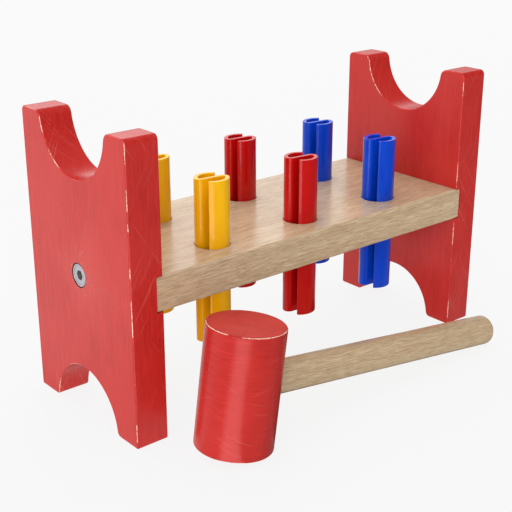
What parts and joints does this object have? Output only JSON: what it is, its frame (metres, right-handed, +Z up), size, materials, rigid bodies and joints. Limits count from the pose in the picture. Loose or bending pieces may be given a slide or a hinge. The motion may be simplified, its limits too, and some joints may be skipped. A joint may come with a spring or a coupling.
{
  "type": "peg pounding bench",
  "caption": "Wooden pounding bench: red end panels, a natural plank with springy S-section plastic pegs that slide through it, and a loose round-headed hammer.",
  "frame": {"origin": "on the floor, in the middle of the box that holds the bench and the hammer in front of it", "axes": "+X along the plank to the right, +Y from the hammer in front to the back of the bench, +Z up"},
  "size_m": [0.256, 0.1466, 0.1605],
  "materials": {
    "panel_paint": "red enamel on wood, semi-gloss, worn through to pale wood along the edges",
    "head_paint": "red enamel on turned wood, semi-gloss, rubbed pale on the rims",
    "plank_wood": "natural beech, clear satin lacquer",
    "handle_wood": "natural beech dowel, clear satin lacquer",
    "yellow_plastic": "moulded, glossy",
    "red_plastic": "moulded, glossy",
    "blue_plastic": "moulded, glossy",
    "zinc_steel": "bright zinc plate",
    "nut_steel": "zinc plate, dull"
  },
  "bodies": {
    "bench": {"end_panel_left": "panel_paint", "end_panel_right": "panel_paint", "plank": "plank_wood", "connector_bolt_left": "zinc_steel", "connector_bolt_right": "zinc_steel", "barrel_nut_left": "nut_steel", "barrel_nut_right": "nut_steel"},
    "yellow_front": {"peg_yellow_front": "yellow_plastic"},
    "yellow_rear": {"peg_yellow_rear": "yellow_plastic"},
    "red_front": {"peg_red_front": "red_plastic"},
    "red_rear": {"peg_red_rear": "red_plastic"},
    "blue_front": {"peg_blue_front": "blue_plastic"},
    "blue_rear": {"peg_blue_rear": "blue_plastic"},
    "hammer": {"hammer_head": "head_paint", "hammer_handle": "handle_wood"}
  },
  "joints": [
    {"name": "yellow_front_slide", "type": "slide", "parent": "bench", "child": "yellow_front", "axis": [0, 0, 1], "range_m": [-0.034, 0.034]},
    {"name": "yellow_rear_slide", "type": "slide", "parent": "bench", "child": "yellow_rear", "axis": [0, 0, 1], "range_m": [-0.034, 0.034]},
    {"name": "red_front_slide", "type": "slide", "parent": "bench", "child": "red_front", "axis": [0, 0, 1], "range_m": [-0.034, 0.034]},
    {"name": "red_rear_slide", "type": "slide", "parent": "bench", "child": "red_rear", "axis": [0, 0, 1], "range_m": [-0.034, 0.034]},
    {"name": "blue_front_slide", "type": "slide", "parent": "bench", "child": "blue_front", "axis": [0, 0, 1], "range_m": [-0.034, 0.034]},
    {"name": "blue_rear_slide", "type": "slide", "parent": "bench", "child": "blue_rear", "axis": [0, 0, 1], "range_m": [-0.034, 0.034]},
    {"name": "hammer_lift", "type": "slide", "parent": "bench", "child": "hammer", "axis": [0, 0, 1], "range_m": [0, 0.17]}
  ]
}
